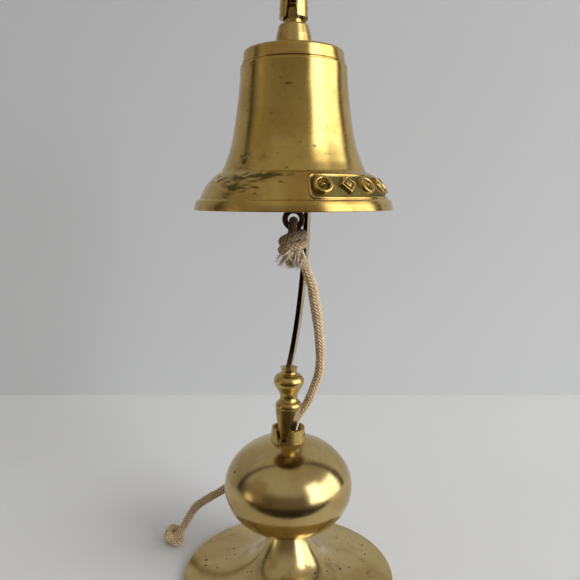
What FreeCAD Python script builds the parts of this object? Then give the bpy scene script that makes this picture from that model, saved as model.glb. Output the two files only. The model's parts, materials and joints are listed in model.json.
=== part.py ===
import FreeCAD, Part
import math
import os

# Brass table bell on a ball stand. Millimetres, +Z up.
# The origin is the centre of the stand's underside, on the table. The arm bows out to +Y, behind the
# bell. The upper cross pin lies along X, and the lower one is turned a little from it.

# --- stand -------------------------------------------------------------------------------------
FOOT_RADIUS = 58.0
FOOT_RIM_HEIGHT = 2.2
FOOT_NECK_RADIUS = 10.0
FOOT_HEIGHT = 29.4
FOOT_TRUMPET = [(FOOT_NECK_RADIUS, FOOT_HEIGHT), (12.0, 23.4), (15.0, 17.8), (19.0, 12.8), (25.0, 8.8),
                (33.0, 6.0), (45.0, 3.8), (FOOT_RADIUS, FOOT_RIM_HEIGHT)]
FOOT_UNDERSIDE_Z = 0.5
HOLLOW_TOP = (6.5, 17.0)
HOLLOW_RIM = (38.0, 2.4)
HOLLOW_CURVE = [HOLLOW_TOP, (9.0, 13.5), (14.0, 9.5), (20.0, 6.6), (30.0, 4.0), HOLLOW_RIM]
FELT_RADIUS = 55.0
FELT_THICKNESS = 1.6

BALL_RADIUS = 34.8
BALL_HALF_HEIGHT = 26.75
BALL_WALL = 1.3
BALL_CENTRE_Z = 54.95

ROD_DIAMETER = 6.0
ROD_HOLE = 6.4
TIE_ROD_LOW_Z = 9.0
TIE_WASHER_RADIUS = 6.0
TIE_WASHER_THICKNESS = 1.0
SPIGOT_RADIUS = 4.5
SPIGOT_LENGTH = 5.0
SPIGOT_FLOOR = 1.0

# --- lower slotted cup and its pin ----------------------------------------------------------------
COLLAR_BASE_RADIUS = 9.9
COLLAR_RIM_RADIUS = 8.8
COLLAR_HEIGHT = 5.9
COLLAR_SKIRT = 2.5
COLLAR_FLOOR = 0.5
CUP_WALL = 1.0
SLOT_WIDTH_LOW = 4.2
SLOT_WIDTH_RIM = 7.3
PIN_RADIUS = 1.0
PIN_CLEARANCE = 0.03
PIN_ABOVE_FLOOR = 2.4
LOWER_PIN_PROUD = 0.2
KNUCKLE_TURN = -13.5

# --- arm and its two turned ends --------------------------------------------------------------------
ARM_LEAN = 2.0
ARM_BOW = 66.0
ARM_WIDTH_MIDDLE = 16.0
ARM_WIDTH_END = 8.0
ARM_THICKNESS = 2.6
TENON_WIDTH = 5.0
TENON_LENGTH = 6.0
BACK_SLOT_DEPTH = 9.0
TONGUE_RADIUS = 6.9
TONGUE_END_BELOW_PIN = 1.8
TONGUE_HALF_LOW = 1.7
TONGUE_HALF_TOP = 6.0
TURNING_ABOVE_PIN = 13.4
TURNING_LENGTH = 22.8
TURNING_BASE = (6.7, 0.0)
TURNING_GROOVE = (5.3, 4.4)
TURNING_WAIST = (4.7, 7.2)
TURNING_SHOULDER = (4.3, 19.4)
TURNING_TOP_RADIUS = 4.7

# --- upper slotted cup -----------------------------------------------------------------------------
UPPER_CUP_RADIUS = 7.2
UPPER_CUP_TOP_RADIUS = 6.8
UPPER_CUP_RIM_BELOW_PIN = 4.8
UPPER_CUP_FLOOR_ABOVE_PIN = 2.6
UPPER_TURNING_ABOVE_PIN = 4.2
UPPER_SLOT_RIM = 5.8
UPPER_SLOT_FLOOR = 4.0
UPPER_PIN_SHORT = 0.2

# --- bell -------------------------------------------------------------------------------------
LIP_Z = 204.0
LIP_RADIUS = 51.7
CROWN_ABOVE_LIP = 78.8
CROWN_THICKNESS = 3.0
INNER_CROWN_RADIUS = 20.5
LEDGE_OUTER = (40.3, 17.4)
LEDGE_INNER = (37.6, 18.6)
BAND_LOW = (48.5, 5.5)
INNER_LIP_RADIUS = 48.4
GROOVE_LOW = (26.9, 70.6)
CROWN_CORNER = (24.9, 77.2)
CROWN_EDGE_RADIUS = 23.2
CAP_HEIGHT = 12.4
CAP_BASE_RADIUS = 9.8
CAP_TOP_RADIUS = 7.1
PIN_ABOVE_LIP = 99.0
HANGER_NECK_RADIUS = 4.5
HANGER_NECK_BELOW_PIN = 5.2
HANGER_TONGUE_RADIUS = 5.0
HANGER_TONGUE_ABOVE_PIN = 2.3
HANGER_TONGUE_SHOULDER = 1.0
HANGER_TONGUE_HALF_LOW = 2.2
HANGER_TONGUE_HALF_TOP = 1.2
WASHER_RADIUS = 8.0
WASHER_THICKNESS = 1.2
NUT_ACROSS_FLATS = 10.0
NUT_HEIGHT = 4.0

# --- clapper -----------------------------------------------------------------------------------
EYE_RADIUS = 4.5
LINK_RADIUS = 5.0
WIRE_RADIUS = 1.5
EYE_CLEARANCE = 0.15
CLAPPER_BALL_RADIUS = 9.5
CLAPPER_BALL_ABOVE_LIP = 10.0
CLAPPER_ROD_RADIUS = 2.2
BOSS_RADIUS = 4.5
BOSS_LENGTH = 6.4
BOSS_FLOOR = 2.0
TAIL_BELOW_LIP = 11.0

# --- lanyard -----------------------------------------------------------------------------------
CORD_RADIUS = 2.25
LOOP_RADIUS = 4.2
KNOT_RADIUS = 6.0
KNOT_OVERLAP = 3.5
KNOT_SIDE = 1.0
TUFT_TOP_RADIUS = 1.6
TUFT_END_RADIUS = 3.6
TUFT_LENGTH = 6.0
TUFT_SIDE = -2.0
TUFT_FRONT = -1.5
TUFT_GAP = 0.2
END_KNOT_RADIUS = 5.2
END_KNOT_X = -74.0
END_KNOT_Y = 20.5
# From the knot, down behind the finial and the ball, and out to the table on the left.
CORD_PATH = [(6, 8, 173), (11, 9, 161), (14, 10, 145), (15.5, 11, 130), (15, 13, 114), (10, 15.5, 98),
             (3, 20, 86), (-6, 31, 72), (-16, 36, 58), (-30, 29, 46), (-42, 19, 38), (-54, 19.5, 30),
             (-63, 20.5, 19), (-68, 21, 10)]

GAP = 0.05
FAR = 20.0

X_AXIS = FreeCAD.Vector(1, 0, 0)
Y_AXIS = FreeCAD.Vector(0, 1, 0)
Z_AXIS = FreeCAD.Vector(0, 0, 1)

BALL_TOP = BALL_CENTRE_Z + BALL_HALF_HEIGHT
TIE_ROD_TOP_Z = BALL_TOP - SPIGOT_FLOOR
TIE_WASHER_Z = HOLLOW_TOP[1] - GAP - TIE_WASHER_THICKNESS
COLLAR_FLOOR_Z = BALL_TOP + COLLAR_FLOOR
COLLAR_RIM_Z = BALL_TOP + COLLAR_HEIGHT
ARM_PIN = FreeCAD.Vector(0, 0, COLLAR_FLOOR_Z + PIN_ABOVE_FLOOR)

# The lower slot and pin are turned about Z from the arm's plane, so the arm leans about a turned axis.
TURN = math.radians(KNUCKLE_TURN)
LEAN_AXIS = FreeCAD.Vector(math.cos(TURN), math.sin(TURN), 0)

# The bell hangs upright from its pin, which the lean of the arm carries back.
BELL_PIN_Z = LIP_Z + PIN_ABOVE_LIP
LEAN_SHIFT = (BELL_PIN_Z - ARM_PIN.z) * math.tan(math.radians(ARM_LEAN))
BELL_PIN = FreeCAD.Vector(-LEAN_SHIFT * math.sin(TURN), LEAN_SHIFT * math.cos(TURN), BELL_PIN_Z)
UPRIGHT_BELL_PIN = FreeCAD.Vector(0, 0, ARM_PIN.z + BELL_PIN.sub(ARM_PIN).Length)
CROWN_Z = LIP_Z + CROWN_ABOVE_LIP
CAP_TOP_Z = CROWN_Z + CAP_HEIGHT
ARM_LOW_Z = ARM_PIN.z + TURNING_ABOVE_PIN + TURNING_LENGTH
ARM_HIGH_Z = UPRIGHT_BELL_PIN.z + UPPER_TURNING_ABOVE_PIN + TURNING_LENGTH

# Stack inside the bell, from the crown's inner face down.
WASHER_Z = CROWN_Z - CROWN_THICKNESS - GAP - WASHER_THICKNESS
NUT_Z = WASHER_Z - GAP - NUT_HEIGHT
BOSS_Z = NUT_Z - GAP - BOSS_LENGTH
HANGER_EYE_Z = BOSS_Z + WIRE_RADIUS / 2 - EYE_RADIUS
EYE_DROP = EYE_RADIUS + LINK_RADIUS - 2 * WIRE_RADIUS - EYE_CLEARANCE
LINK_Z = HANGER_EYE_Z - EYE_DROP
CLAPPER_EYE_Z = LINK_Z - EYE_DROP
CLAPPER_BALL_Z = LIP_Z + CLAPPER_BALL_ABOVE_LIP
TAIL_EYE_Z = LIP_Z - TAIL_BELOW_LIP + EYE_RADIUS + WIRE_RADIUS
LOOP_Z = TAIL_EYE_Z - EYE_RADIUS + WIRE_RADIUS + CORD_RADIUS - LOOP_RADIUS
KNOT_Z = LOOP_Z - LOOP_RADIUS - CORD_RADIUS + KNOT_OVERLAP - KNOT_RADIUS


def point(x, y, z):
    return FreeCAD.Vector(x, y, z)


def cylinder(radius, height, base, axis=Z_AXIS):
    return Part.makeCylinder(radius, height, base, axis)


def box(size_x, size_y, size_z, centre_x, centre_y, low_z):
    corner = point(centre_x - size_x / 2, centre_y - size_y / 2, low_z)
    return Part.makeBox(size_x, size_y, size_z, corner)


def ring(major, minor, centre, axis):
    return Part.makeTorus(major, minor, centre, axis)


def turned(edges):
    """Solid of revolution about Z from a closed outline in the XZ plane."""
    face = Part.Face(Part.Wire(Part.__sortEdges__(edges)))
    return Part.Solid(face.revolve(point(0, 0, 0), Z_AXIS, 360))


def line(a, b):
    return Part.makeLine(point(a[0], 0, a[1]), point(b[0], 0, b[1]))


def curve(points):
    """Smooth curve through radius and height pairs."""
    spline = Part.BSplineCurve()
    spline.interpolate([point(r, 0, z) for r, z in points])
    return spline.toShape()


def polyline(points):
    return [line(a, b) for a, b in zip(points, points[1:])]


def arc(a, middle, b):
    return Part.Arc(point(a[0], 0, a[1]), point(middle[0], 0, middle[1]), point(b[0], 0, b[1])).toShape()


def oblate(radius, half_height):
    """Solid oblate ball on the stand's axis."""
    top = (0, BALL_CENTRE_Z + half_height)
    bottom = (0, BALL_CENTRE_Z - half_height)
    ellipse = Part.Ellipse(point(0, 0, BALL_CENTRE_Z), radius, half_height)
    ellipse.Axis = point(0, -1, 0)
    ellipse.XAxis = X_AXIS
    half = Part.ArcOfEllipse(ellipse, -math.pi / 2, math.pi / 2).toShape()
    return turned([half, line(top, bottom)])


def leaned(shape):
    """The shape turned back about the arm's pin, as the arm rests."""
    shape.rotate(ARM_PIN, LEAN_AXIS, -ARM_LEAN)
    return shape


def knuckled(shape):
    """The shape turned about Z from the arm's plane to the lower slot's direction."""
    shape.rotate(point(0, 0, 0), Z_AXIS, KNUCKLE_TURN)
    return shape


def hung(shape):
    """The shape moved from the stand's axis to the bell's axis."""
    shape.translate(point(BELL_PIN.x, BELL_PIN.y, 0))
    return shape


def wedge(half_low, low_z, half_high, high_z):
    """Block along Y whose width along X changes from its low end to its high end."""
    corners = [(-half_low, low_z), (half_low, low_z), (half_high, high_z), (-half_high, high_z)]
    outline = Part.makePolygon([point(x, -FAR, z) for x, z in corners + corners[:1]])
    return Part.Face(outline).extrude(point(0, 2 * FAR, 0))


# --- stand -------------------------------------------------------------------------------------

def foot():
    """Turned trumpet, hollow below, recessed for the felt and seated under the ball."""
    outside = [(FOOT_RADIUS, FOOT_RIM_HEIGHT), (FOOT_RADIUS, FOOT_UNDERSIDE_Z), (0, FOOT_UNDERSIDE_Z),
               (0, FOOT_HEIGHT), (FOOT_NECK_RADIUS, FOOT_HEIGHT)]
    inside = [HOLLOW_RIM, (HOLLOW_RIM[0], 0), (0, 0), (0, HOLLOW_TOP[1]), HOLLOW_TOP]
    body = turned([curve(FOOT_TRUMPET)] + polyline(outside))
    hollow = turned([curve(HOLLOW_CURVE)] + polyline(inside))
    recess = cylinder(FELT_RADIUS + GAP, FELT_THICKNESS + GAP, point(0, 0, 0))
    seat = oblate(BALL_RADIUS + GAP, BALL_HALF_HEIGHT + GAP)
    hole = cylinder(ROD_HOLE / 2, FOOT_HEIGHT, point(0, 0, 0))
    return body.cut(hollow).cut(recess).cut(seat).cut(hole)


def felt_pad():
    return cylinder(FELT_RADIUS, FELT_THICKNESS, point(0, 0, 0))


def ball():
    shell = oblate(BALL_RADIUS, BALL_HALF_HEIGHT)
    shell = shell.cut(oblate(BALL_RADIUS - BALL_WALL, BALL_HALF_HEIGHT - BALL_WALL))
    lower_hole = cylinder(ROD_HOLE / 2, BALL_CENTRE_Z, point(0, 0, 0))
    upper_hole = cylinder(SPIGOT_RADIUS + GAP, BALL_CENTRE_Z, point(0, 0, BALL_CENTRE_Z))
    return shell.cut(lower_hole).cut(upper_hole)


def nut(low_z):
    """Hexagonal nut on the Z axis, with its hole for the rod."""
    corner_radius = NUT_ACROSS_FLATS / math.sqrt(3)
    corners = []
    for step in range(7):
        angle = math.radians(60 * step)
        corners.append(point(corner_radius * math.cos(angle), corner_radius * math.sin(angle), low_z))
    body = Part.Face(Part.makePolygon(corners)).extrude(point(0, 0, NUT_HEIGHT))
    return body.cut(cylinder(ROD_DIAMETER / 2 + GAP, NUT_HEIGHT, point(0, 0, low_z)))


def washer(radius, thickness, low_z):
    body = cylinder(radius, thickness, point(0, 0, low_z))
    return body.cut(cylinder(ROD_HOLE / 2, thickness, point(0, 0, low_z)))


def tie_rod():
    """Stud that draws the foot, the ball and the collar together."""
    return cylinder(ROD_DIAMETER / 2, TIE_ROD_TOP_Z - TIE_ROD_LOW_Z, point(0, 0, TIE_ROD_LOW_Z))


def tie_rod_washer():
    return washer(TIE_WASHER_RADIUS, TIE_WASHER_THICKNESS, TIE_WASHER_Z)


def tie_rod_nut():
    return nut(TIE_WASHER_Z - GAP - NUT_HEIGHT)


def cross_pin(half_length, centre):
    return cylinder(PIN_RADIUS, 2 * half_length, centre.sub(point(half_length, 0, 0)), X_AXIS)


def cross_hole(centre):
    return cylinder(PIN_RADIUS + PIN_CLEARANCE, 2 * FAR, centre.sub(point(FAR, 0, 0)), X_AXIS)


def socket_collar():
    """Slotted cup whose skirt is cut to the ball, with a spigot that the tie rod screws into."""
    base_z = BALL_TOP - COLLAR_SKIRT
    cup = Part.makeCone(COLLAR_BASE_RADIUS, COLLAR_RIM_RADIUS, COLLAR_RIM_Z - base_z, point(0, 0, base_z))
    cup = cup.cut(oblate(BALL_RADIUS + GAP, BALL_HALF_HEIGHT + GAP))
    spigot_z = BALL_TOP - SPIGOT_LENGTH
    cup = cup.fuse(cylinder(SPIGOT_RADIUS, COLLAR_FLOOR_Z - spigot_z, point(0, 0, spigot_z)))
    bore_radius = COLLAR_RIM_RADIUS - CUP_WALL
    cup = cup.cut(cylinder(bore_radius, COLLAR_HEIGHT, point(0, 0, COLLAR_FLOOR_Z)))
    slot = wedge(SLOT_WIDTH_LOW / 2, COLLAR_FLOOR_Z, SLOT_WIDTH_RIM / 2, COLLAR_RIM_Z + GAP)
    thread = cylinder(ROD_DIAMETER / 2 + GAP, TIE_ROD_TOP_Z + GAP - spigot_z, point(0, 0, spigot_z))
    return knuckled(cup.cut(slot).cut(cross_hole(ARM_PIN)).cut(thread))


def arm_pivot_pin():
    return knuckled(cross_pin(COLLAR_RIM_RADIUS + LOWER_PIN_PROUD, ARM_PIN))


# --- arm --------------------------------------------------------------------------------------

def turning():
    """Turned baluster from its bead (height 0) to its small cup, as a solid on the Z axis."""
    top = (TURNING_TOP_RADIUS, TURNING_LENGTH)
    edges = [
        arc(TURNING_BASE, (7.0, 2.2), TURNING_GROOVE),
        arc(TURNING_GROOVE, (4.75, 5.6), TURNING_WAIST),
        curve([TURNING_WAIST, (5.2, 9.0), (6.8, 11.6), (8.0, 14.0), (8.1, 15.8), (7.0, 18.0),
               TURNING_SHOULDER]),
        arc(TURNING_SHOULDER, (4.1, 20.8), top),
    ]
    edges += polyline([top, (0, TURNING_LENGTH), (0, 0), TURNING_BASE])
    return turned(edges)


def tenon_slot(end_z, depth):
    """Pocket for the arm's tenon, from the end of a turning down to the given depth."""
    width = TENON_WIDTH + 2 * GAP
    return box(ARM_THICKNESS + 2 * GAP, width, depth + 2 * GAP, 0, 0, end_z - depth - GAP)


def back_slot(end_z, depth):
    """Slot that is open to the back, where the arm comes in from behind."""
    width = ARM_WIDTH_END / 2 + GAP + FAR
    centre_y = FAR - width / 2
    return box(ARM_THICKNESS + 2 * GAP, width, depth + 2 * GAP, 0, centre_y, end_z - depth - GAP)


def lower_finial():
    """Baluster with a tongue below, whose two flats slope in towards its end."""
    body = turning()
    body.translate(point(0, 0, ARM_PIN.z + TURNING_ABOVE_PIN))
    end_z = ARM_PIN.z - TONGUE_END_BELOW_PIN
    root_z = ARM_PIN.z + TURNING_ABOVE_PIN
    round_bar = cylinder(TONGUE_RADIUS, root_z - end_z, point(0, 0, end_z))
    tongue = round_bar.common(wedge(TONGUE_HALF_LOW, end_z, TONGUE_HALF_TOP, root_z))
    tongue = knuckled(tongue.cut(cross_hole(ARM_PIN)))
    return leaned(body.fuse(tongue).cut(tenon_slot(ARM_LOW_Z, TENON_LENGTH)))


def arm_plate():
    """Flat crescent in the YZ plane between two arcs, with a tenon at each end."""
    middle_z = (ARM_LOW_Z + ARM_HIGH_Z) / 2
    half = ARM_WIDTH_END / 2
    x = -ARM_THICKNESS / 2
    inner = Part.Arc(point(x, -half, ARM_LOW_Z + GAP), point(x, ARM_BOW, middle_z),
                     point(x, -half, ARM_HIGH_Z - GAP)).toShape()
    outer = Part.Arc(point(x, half, ARM_LOW_Z + GAP), point(x, ARM_BOW + ARM_WIDTH_MIDDLE, middle_z),
                     point(x, half, ARM_HIGH_Z - GAP)).toShape()
    low_end = Part.makeLine(point(x, -half, ARM_LOW_Z + GAP), point(x, half, ARM_LOW_Z + GAP))
    high_end = Part.makeLine(point(x, -half, ARM_HIGH_Z - GAP), point(x, half, ARM_HIGH_Z - GAP))
    outline = Part.Wire(Part.__sortEdges__([inner, high_end, outer, low_end]))
    plate = Part.Face(outline).extrude(point(ARM_THICKNESS, 0, 0))
    low_tenon = box(ARM_THICKNESS, TENON_WIDTH, TENON_LENGTH + 1, 0, 0, ARM_LOW_Z - TENON_LENGTH)
    high_tenon = box(ARM_THICKNESS, TENON_WIDTH, BACK_SLOT_DEPTH, 0, 0, ARM_HIGH_Z - BACK_SLOT_DEPTH)
    return leaned(plate.fuse(low_tenon).fuse(high_tenon).removeSplitter())


def upper_finial():
    """The same baluster above a slotted cup that opens downwards."""
    body = turning()
    root_z = UPRIGHT_BELL_PIN.z + UPPER_TURNING_ABOVE_PIN
    body.translate(point(0, 0, root_z))
    rim_z = UPRIGHT_BELL_PIN.z - UPPER_CUP_RIM_BELOW_PIN
    floor_z = UPRIGHT_BELL_PIN.z + UPPER_CUP_FLOOR_ABOVE_PIN
    cup = Part.makeCone(UPPER_CUP_RADIUS, UPPER_CUP_TOP_RADIUS, root_z - rim_z, point(0, 0, rim_z))
    cup = cup.fuse(body)
    cup = cup.cut(cylinder(UPPER_CUP_RADIUS - CUP_WALL, floor_z - rim_z, point(0, 0, rim_z)))
    slot = wedge(UPPER_SLOT_RIM / 2, rim_z - GAP, UPPER_SLOT_FLOOR / 2, floor_z)
    cup = cup.cut(slot).cut(cross_hole(UPRIGHT_BELL_PIN)).cut(back_slot(ARM_HIGH_Z, BACK_SLOT_DEPTH))
    return leaned(cup)


def bell_pivot_pin():
    return leaned(cross_pin(UPPER_CUP_RADIUS - UPPER_PIN_SHORT, UPRIGHT_BELL_PIN))


# --- bell -------------------------------------------------------------------------------------

def bell():
    """Turned shell: lip flange, bulged band, waist, groove and flat crown."""

    def up(points):
        return [(r, LIP_Z + z) for r, z in points]

    inner_lip = (INNER_LIP_RADIUS, 0)
    crown_edge = (CROWN_EDGE_RADIUS, CROWN_ABOVE_LIP)
    under_crown = CROWN_ABOVE_LIP - CROWN_THICKNESS
    hole = ROD_HOLE / 2
    inner_crown = (INNER_CROWN_RADIUS, under_crown)
    edges = polyline(up([inner_lip, (LIP_RADIUS, 0), (50.9, 3.2), (50.2, 5.0), BAND_LOW]))
    edges += [curve(up([BAND_LOW, (46.9, 9.1), (44.3, 13.4), LEDGE_OUTER]))]
    edges += polyline(up([LEDGE_OUTER, (38.6, 18.4), LEDGE_INNER]))
    edges += [curve(up([LEDGE_INNER, (34.9, 24.0), (31.7, 33.5), (29.2, 47.5), (27.5, 61.9), GROOVE_LOW]))]
    edges += polyline(up([GROOVE_LOW, (25.5, 71.2), (25.5, 72.0), (25.8, 72.4), CROWN_CORNER]))
    edges += [arc(*up([CROWN_CORNER, (24.4, 78.35), crown_edge]))]
    edges += polyline(up([crown_edge, (hole, CROWN_ABOVE_LIP), (hole, under_crown), inner_crown]))
    edges += [curve(up([inner_crown, (23.9, 71.5), (24.8, 61.0), (26.6, 46.5), (29.4, 32.5), (33.4, 22.0),
                        (39.4, 14.5), (44.8, 6.5), inner_lip]))]
    return hung(turned(edges))


def bell_cap():
    """Tapered sleeve that stands on the crown round the hanger's shank."""
    hole = ROD_HOLE / 2
    outline = [(hole, GAP), (CAP_BASE_RADIUS, GAP), (CAP_BASE_RADIUS, 0.8), (8.6, 7.5), (7.6, 11.7),
               (CAP_TOP_RADIUS, CAP_HEIGHT), (hole, CAP_HEIGHT), (hole, GAP)]
    return hung(turned(polyline([(r, CROWN_Z + z) for r, z in outline])))


def hanger_bolt():
    """Rounded tongue in the upper cup, a neck on the cap, and a shank through the bell's crown."""
    neck_z = BELL_PIN_Z - HANGER_NECK_BELOW_PIN
    width = HANGER_TONGUE_RADIUS
    x = -width
    end_z = BELL_PIN_Z + HANGER_TONGUE_ABOVE_PIN
    shoulder_z = BELL_PIN_Z - HANGER_TONGUE_SHOULDER
    round_end = Part.Arc(point(x, -width, shoulder_z), point(x, 0, end_z),
                         point(x, width, shoulder_z)).toShape()
    sides = Part.makePolygon([point(x, width, shoulder_z), point(x, HANGER_NECK_RADIUS, neck_z),
                              point(x, -HANGER_NECK_RADIUS, neck_z), point(x, -width, shoulder_z)])
    outline = Part.Wire(Part.__sortEdges__([round_end] + sides.Edges))
    tongue = Part.Face(outline).extrude(point(2 * width, 0, 0))
    tongue = tongue.common(wedge(HANGER_TONGUE_HALF_LOW, neck_z, HANGER_TONGUE_HALF_TOP, end_z))
    neck = cylinder(HANGER_NECK_RADIUS, neck_z - CAP_TOP_Z - GAP, point(0, 0, CAP_TOP_Z + GAP))
    shank_end = BOSS_Z + BOSS_FLOOR
    shank = cylinder(ROD_DIAMETER / 2, neck_z - shank_end, point(0, 0, shank_end))
    return hung(neck.fuse(shank).fuse(tongue)).cut(leaned(cross_hole(UPRIGHT_BELL_PIN)))


def crown_washer():
    return hung(washer(WASHER_RADIUS, WASHER_THICKNESS, WASHER_Z))


def crown_nut():
    return hung(nut(NUT_Z))


def clapper_eye():
    """Screwed boss on the shank's end with the closed eye that carries the clapper."""
    boss = cylinder(BOSS_RADIUS, BOSS_LENGTH, point(0, 0, BOSS_Z))
    boss = boss.fuse(ring(EYE_RADIUS, WIRE_RADIUS, point(0, 0, HANGER_EYE_Z), Y_AXIS))
    bore = cylinder(ROD_DIAMETER / 2 + GAP, BOSS_LENGTH, point(0, 0, BOSS_Z + BOSS_FLOOR - GAP))
    return hung(boss.cut(bore))


# --- clapper -----------------------------------------------------------------------------------

def clapper_link():
    return hung(ring(LINK_RADIUS, WIRE_RADIUS, point(0, 0, LINK_Z), X_AXIS))


def clapper_rod():
    """Iron rod with an eye at each end, both in the XZ plane."""
    top_z = CLAPPER_EYE_Z - EYE_RADIUS
    bottom_z = TAIL_EYE_Z + EYE_RADIUS
    rod = cylinder(CLAPPER_ROD_RADIUS, top_z - bottom_z, point(0, 0, bottom_z))
    upper_eye = ring(EYE_RADIUS, WIRE_RADIUS, point(0, 0, CLAPPER_EYE_Z), Y_AXIS)
    lower_eye = ring(EYE_RADIUS, WIRE_RADIUS, point(0, 0, TAIL_EYE_Z), Y_AXIS)
    return hung(rod.fuse(upper_eye).fuse(lower_eye))


def clapper_ball():
    ball_shape = Part.makeSphere(CLAPPER_BALL_RADIUS, point(0, 0, CLAPPER_BALL_Z))
    hole = cylinder(CLAPPER_ROD_RADIUS + GAP, BELL_PIN_Z, point(0, 0, 0))
    return hung(ball_shape.cut(hole))


# --- lanyard -----------------------------------------------------------------------------------

def cord_hitch():
    """Loop through the clapper's lower eye and the knot under it."""
    loop = ring(LOOP_RADIUS, CORD_RADIUS - GAP, point(0, 0, LOOP_Z), X_AXIS)
    knot = Part.makeSphere(KNOT_RADIUS, point(KNOT_SIDE, 0, KNOT_Z))
    return hung(loop.fuse(knot))


def cord_tuft():
    """Frayed end that hangs from the knot's front."""
    top = point(TUFT_SIDE, TUFT_FRONT, KNOT_Z - KNOT_RADIUS - TUFT_GAP)
    return hung(Part.makeCone(TUFT_TOP_RADIUS, TUFT_END_RADIUS, TUFT_LENGTH, top, point(0, 0, -1)))


def lanyard():
    spline = Part.BSplineCurve()
    spline.interpolate([point(x, y, z) for x, y, z in CORD_PATH])
    path = Part.Wire(spline.toShape())
    start = path.Edges[0]
    profile = Part.Wire(Part.makeCircle(CORD_RADIUS, start.valueAt(start.FirstParameter),
                                        start.tangentAt(start.FirstParameter)))
    return path.makePipeShell([profile], True, True)


def cord_end_knot():
    return Part.makeSphere(END_KNOT_RADIUS, point(END_KNOT_X, END_KNOT_Y, END_KNOT_RADIUS + GAP))


PIECES = [foot, felt_pad, tie_rod, tie_rod_washer, tie_rod_nut, ball, socket_collar, arm_pivot_pin,
          lower_finial, arm_plate, upper_finial, bell_pivot_pin, hanger_bolt, bell_cap, bell,
          crown_washer, crown_nut, clapper_eye, clapper_link, clapper_rod, clapper_ball,
          cord_hitch, cord_tuft, lanyard, cord_end_knot]

os.makedirs("parts", exist_ok=True)
for piece in PIECES:
    piece().exportStep("parts/" + piece.__name__ + ".step")
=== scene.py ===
import json
import math
import random

import bpy
import numpy as np
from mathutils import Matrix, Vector, noise


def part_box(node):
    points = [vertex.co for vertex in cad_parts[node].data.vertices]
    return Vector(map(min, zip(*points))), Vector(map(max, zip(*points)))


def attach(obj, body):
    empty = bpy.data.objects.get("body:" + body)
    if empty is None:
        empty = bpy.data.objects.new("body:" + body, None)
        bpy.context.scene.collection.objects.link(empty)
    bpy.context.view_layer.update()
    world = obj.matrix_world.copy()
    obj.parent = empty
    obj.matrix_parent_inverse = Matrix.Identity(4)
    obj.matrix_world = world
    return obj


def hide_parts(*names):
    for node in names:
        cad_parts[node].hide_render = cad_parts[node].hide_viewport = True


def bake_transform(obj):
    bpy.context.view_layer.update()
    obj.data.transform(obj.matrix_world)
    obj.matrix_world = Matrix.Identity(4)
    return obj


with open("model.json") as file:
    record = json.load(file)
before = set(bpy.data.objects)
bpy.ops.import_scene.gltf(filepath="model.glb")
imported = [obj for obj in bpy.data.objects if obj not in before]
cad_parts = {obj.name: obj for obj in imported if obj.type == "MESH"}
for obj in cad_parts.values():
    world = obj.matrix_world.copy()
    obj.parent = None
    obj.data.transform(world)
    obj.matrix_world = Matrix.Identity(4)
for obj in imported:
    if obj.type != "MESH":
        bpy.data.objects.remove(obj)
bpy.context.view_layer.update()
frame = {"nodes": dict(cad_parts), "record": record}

MM = 0.001

# Places that the frame gives, in millimetres.
bell_low, bell_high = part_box("bell")
BELL_X = (bell_low.x + bell_high.x) / 2 / MM
BELL_Y = (bell_low.y + bell_high.y) / 2 / MM
LIP_Z = bell_low.z / MM
LIP_RADIUS = (bell_high.x - bell_low.x) / 2 / MM
CROWN_HEIGHT = (bell_high.z - bell_low.z) / MM
rod_low, rod_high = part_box("clapper_rod")
EYE_OUTER = (rod_high.x - rod_low.x) / 2 / MM
EYE_Z = rod_low.z / MM + EYE_OUTER

# Where the viewer stands: turned round from -Y and pitched down, and distances in millimetres.
VIEW_TURN = math.radians(8.5)
VIEW_PITCH = math.radians(8.93)
VIEW_DISTANCE = 309.6
VIEW_SIDE = 1.0
VIEW_ABOVE_LIP = 7.2
LENS = 37.24
SENSOR_WIDTH = 36.0


# --- node helper -----------------------------------------------------------------------------------

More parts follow.
